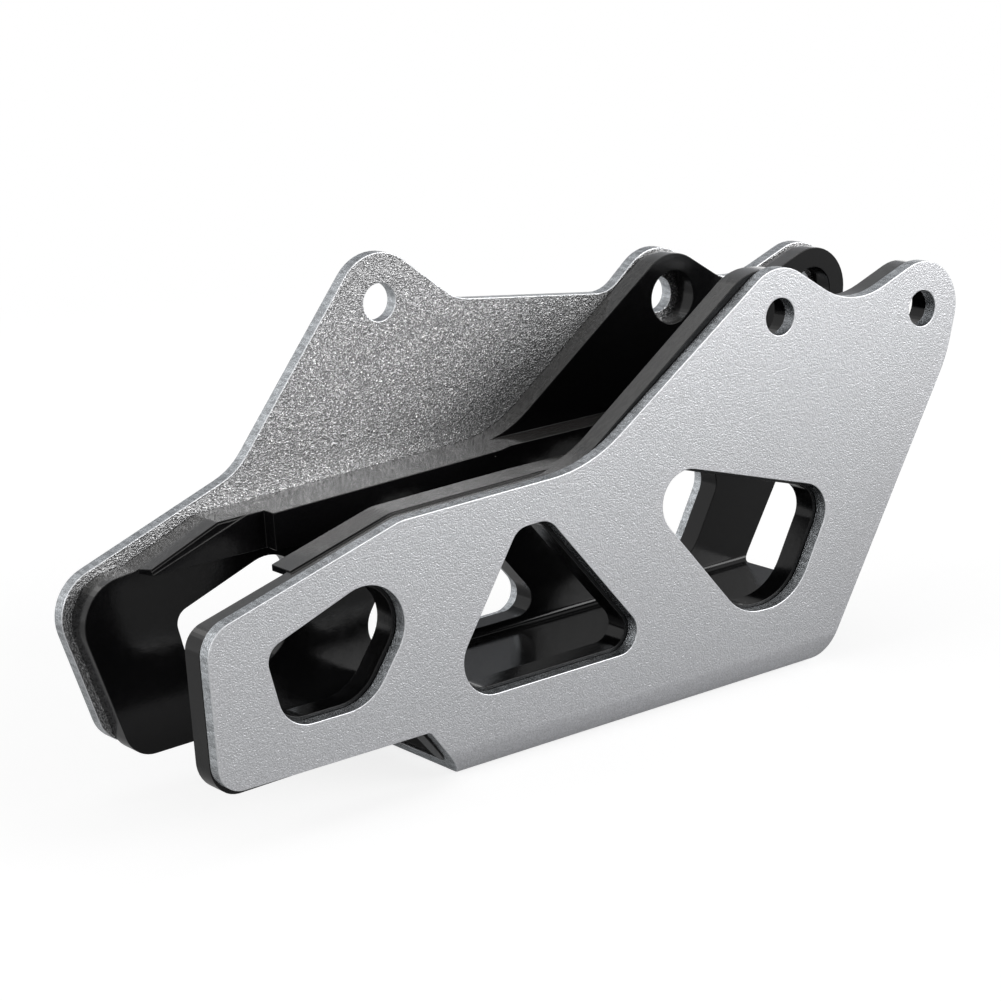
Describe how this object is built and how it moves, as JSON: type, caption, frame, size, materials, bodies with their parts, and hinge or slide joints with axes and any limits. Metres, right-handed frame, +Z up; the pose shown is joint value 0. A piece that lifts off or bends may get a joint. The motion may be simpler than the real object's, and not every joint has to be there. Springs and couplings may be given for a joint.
{
  "type": "motorcycle chain guide",
  "caption": "Rear chain guide: folded aluminium cage with bolt ears and windows around a black moulded insert with an open channel for the chain.",
  "frame": {"origin": "under the middle of the guide, on the underside of the web", "axes": "+X from the nose to the rear ears, +Y from the low plate to the tall plate, +Z up from the web"},
  "size_m": [0.2112, 0.0454, 0.1037],
  "materials": {
    "blasted_aluminium": "fine blasted and clear anodised, with brighter cut edges",
    "black_moulding": "smooth moulded black, half gloss"
  },
  "bodies": {
    "root": {"cage": "blasted_aluminium", "insert": "black_moulding"}
  },
  "joints": []
}
